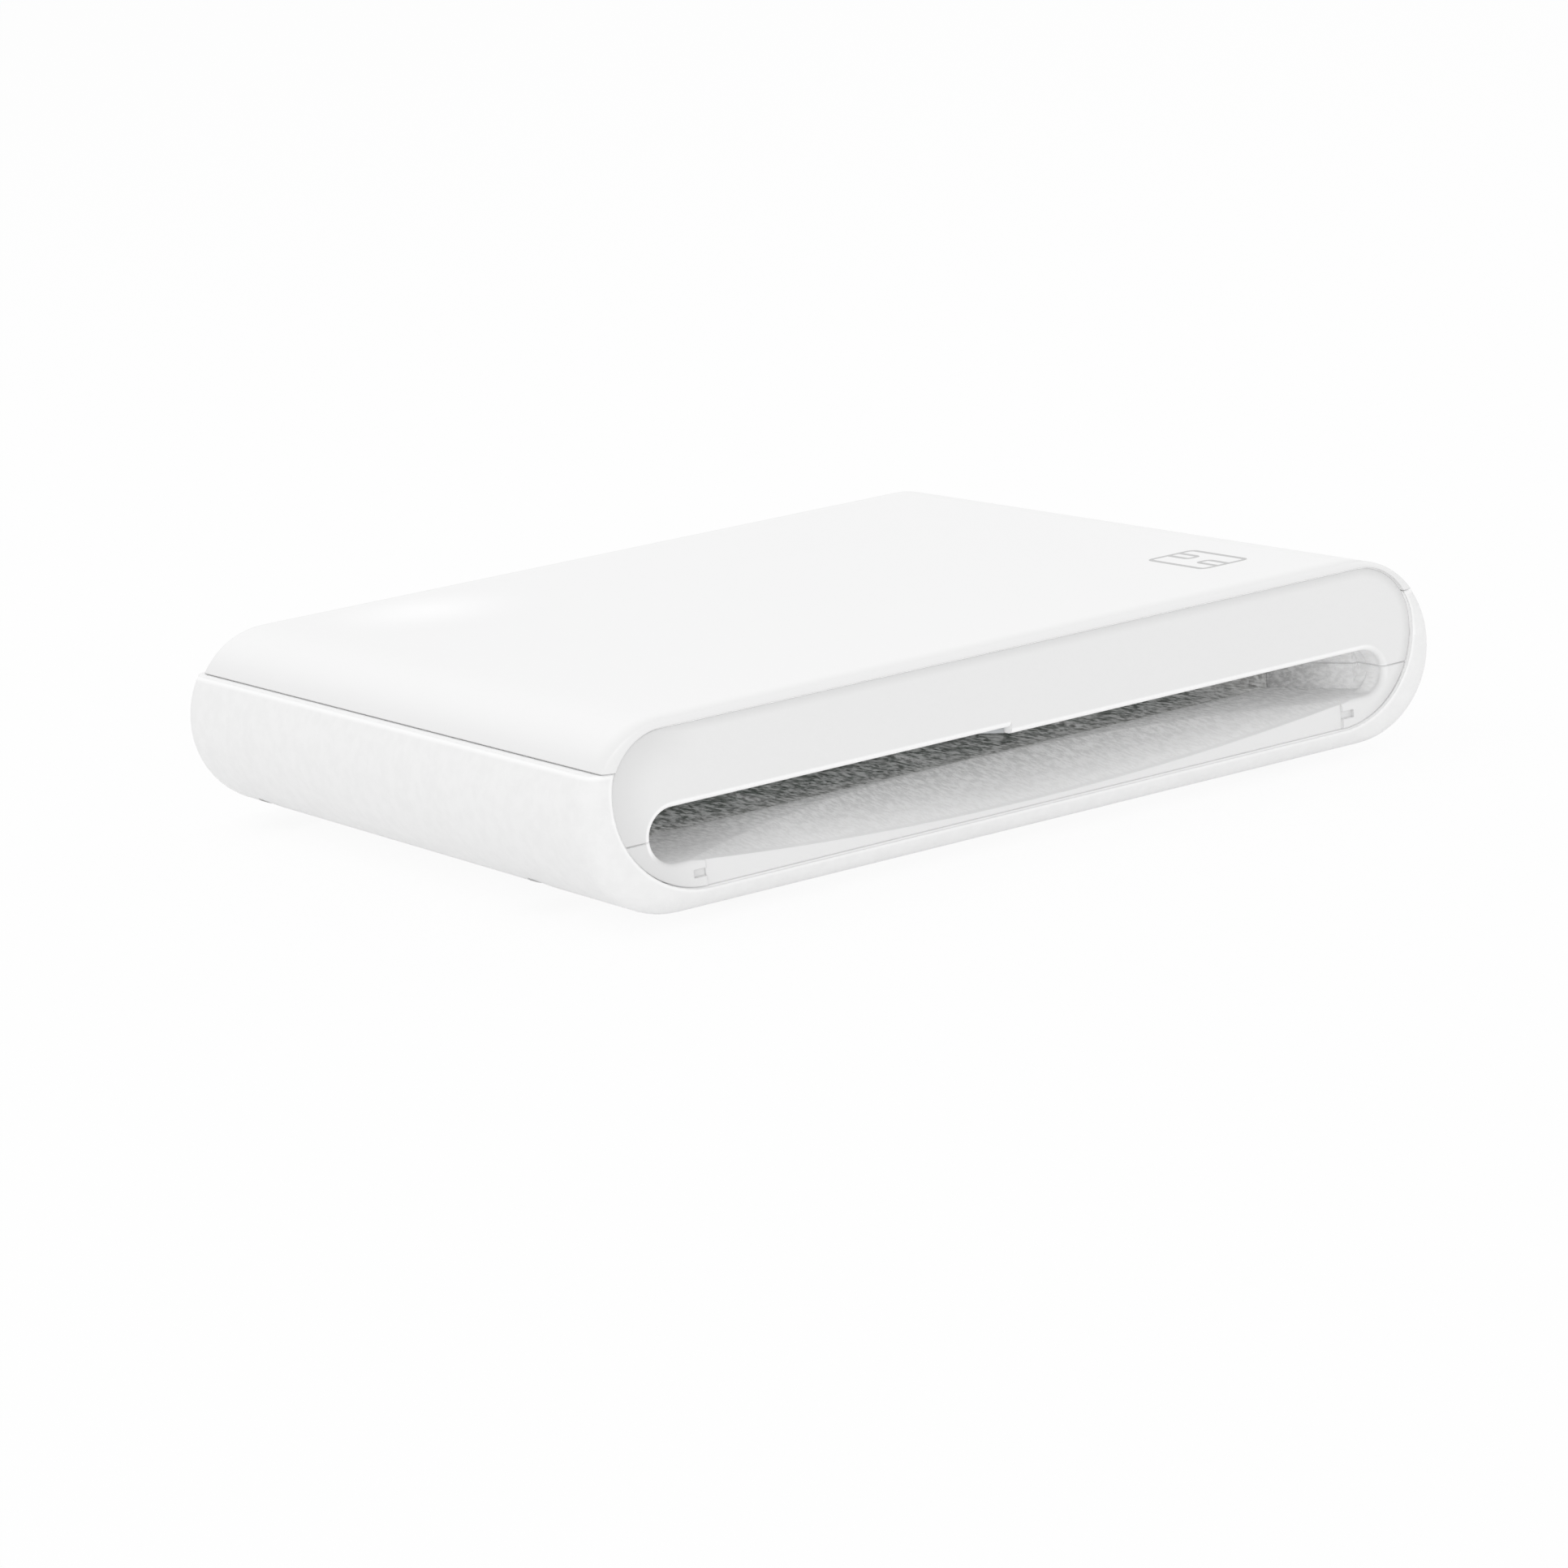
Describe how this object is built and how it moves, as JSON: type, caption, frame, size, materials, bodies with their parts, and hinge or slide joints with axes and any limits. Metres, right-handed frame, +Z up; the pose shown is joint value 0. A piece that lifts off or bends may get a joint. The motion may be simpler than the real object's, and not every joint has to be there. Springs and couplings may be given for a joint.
{
  "type": "smart card reader",
  "caption": "Flat pill-shaped desktop reader for credit-card sized smart cards, with a wide card mouth and thumb scoop in front and a lead socket behind.",
  "frame": {"origin": "under the middle of the case, on the plane of the feet", "axes": "+X to the reader's right seen from its mouth, +Y from the mouth to the back, +Z up"},
  "size_m": [0.072, 0.062, 0.0145],
  "materials": {
    "cover_plastic": "satin",
    "shell_plastic": "fine spark-eroded texture",
    "panel_plastic": "fine matt",
    "clear_plastic": "clear, frosted front",
    "tray_plastic": "plain moulded",
    "black_plastic": "plain moulded",
    "gold_spring": "gold plated",
    "tinned_metal": "tin plated",
    "board": "solder mask",
    "chip_resin": "moulded resin",
    "can_metal": "nickel plated",
    "capacitor_ceramic": "matt",
    "resistor_ceramic": "matt",
    "lamp_resin": "clear resin",
    "screw_steel": "zinc plated",
    "foot_rubber": "matt"
  },
  "bodies": {
    "case": {"top_cover": "cover_plastic", "bottom_shell": "shell_plastic", "front_bezel": "panel_plastic", "lower_bezel": "panel_plastic", "light_pipe": "clear_plastic", "card_tray": "tray_plastic", "contact_block": "black_plastic", "contact_tails": "gold_spring", "switch_base": "black_plastic", "switch_blade": "tinned_metal", "circuit_board": "board", "controller_chip": "chip_resin", "memory_chip": "chip_resin", "chip_leads": "tinned_metal", "regulator": "chip_resin", "crystal": "can_metal", "capacitors": "capacitor_ceramic", "resistors": "resistor_ceramic", "terminations": "tinned_metal", "status_light": "lamp_resin", "usb_shell": "can_metal", "usb_tongue": "black_plastic", "usb_contacts": "gold_spring", "board_screws": "screw_steel", "case_screws": "screw_steel", "rubber_feet": "foot_rubber"},
    "near_contact_row": {"front_contacts": "gold_spring"},
    "far_contact_row": {"rear_contacts": "gold_spring"},
    "card_switch": {"switch_leaf": "tinned_metal"}
  },
  "joints": [
    {"name": "near_row_lift", "type": "hinge", "parent": "case", "child": "near_contact_row", "pos_m": [0.0031, -0.00907, 0.0066], "axis": [1, 0, 0], "range_deg": [0, 5.5], "stiffness_Nm_per_rad": 0.1},
    {"name": "far_row_lift", "type": "hinge", "parent": "case", "child": "far_contact_row", "pos_m": [0.0031, -0.00145, 0.0066], "axis": [1, 0, 0], "range_deg": [0, 5.5], "stiffness_Nm_per_rad": 0.1},
    {"name": "leaf_swing", "type": "hinge", "parent": "case", "child": "card_switch", "pos_m": [-0.018, 0.01575, 0.00805], "axis": [1, 0, 0], "range_deg": [0, 15.5], "stiffness_Nm_per_rad": 0.004}
  ]
}
